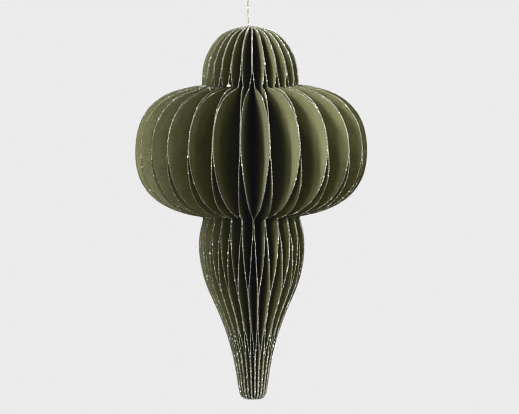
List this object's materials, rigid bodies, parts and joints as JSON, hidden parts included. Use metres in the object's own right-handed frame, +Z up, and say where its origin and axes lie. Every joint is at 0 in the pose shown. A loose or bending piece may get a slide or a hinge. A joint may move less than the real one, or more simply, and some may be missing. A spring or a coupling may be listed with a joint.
{
  "type": "hanging honeycomb paper decoration",
  "caption": "Hanging honeycomb paper decoration in a finial shape: a dome, a wide lobe and a tapering stem of fanned paper leaves, on a thread with a knot and loop.",
  "frame": {"origin": "the inside top of the hanging loop, where a hook bears", "axes": "+Z up along the thread, away from the leaves; -Y is the front; +X is to the right of the front"},
  "size_m": [0.124, 0.1242, 0.2489],
  "materials": {
    "leaf_paper": "matte handmade paper, olive green, cut edges dipped in silver glitter",
    "core_paper": "matte, same paper without glitter",
    "thread": "twisted metallic thread, pale silver",
    "glitter": "silver glitter flakes in clear glue"
  },
  "bodies": {
    "root": {"leaf_01": "leaf_paper", "leaf_02": "leaf_paper", "leaf_03": "leaf_paper", "leaf_04": "leaf_paper", "leaf_05": "leaf_paper", "leaf_06": "leaf_paper", "leaf_07": "leaf_paper", "leaf_08": "leaf_paper", "leaf_09": "leaf_paper", "leaf_10": "leaf_paper", "leaf_11": "leaf_paper", "leaf_12": "leaf_paper", "leaf_13": "leaf_paper", "leaf_14": "leaf_paper", "leaf_15": "leaf_paper", "leaf_16": "leaf_paper", "leaf_17": "leaf_paper", "leaf_18": "leaf_paper", "leaf_19": "leaf_paper", "leaf_20": "leaf_paper", "leaf_21": "leaf_paper", "leaf_22": "leaf_paper", "leaf_23": "leaf_paper", "leaf_24": "leaf_paper", "leaf_25": "leaf_paper", "leaf_26": "leaf_paper", "leaf_27": "leaf_paper", "leaf_28": "leaf_paper", "leaf_29": "leaf_paper", "leaf_30": "leaf_paper", "leaf_31": "leaf_paper", "leaf_32": "leaf_paper", "leaf_33": "leaf_paper", "leaf_34": "leaf_paper", "leaf_35": "leaf_paper", "leaf_36": "leaf_paper", "leaf_37": "leaf_paper", "leaf_38": "leaf_paper", "leaf_39": "leaf_paper", "leaf_40": "leaf_paper", "leaf_41": "leaf_paper", "leaf_42": "leaf_paper", "leaf_43": "leaf_paper", "leaf_44": "leaf_paper", "leaf_45": "leaf_paper", "leaf_46": "leaf_paper", "leaf_47": "leaf_paper", "leaf_48": "leaf_paper", "leaf_49": "leaf_paper", "leaf_50": "leaf_paper", "spine_strip": "core_paper", "core_plug": "core_paper", "hanging_cord": "thread", "cord_knot": "thread", "hanging_loop": "thread"}
  },
  "joints": []
}
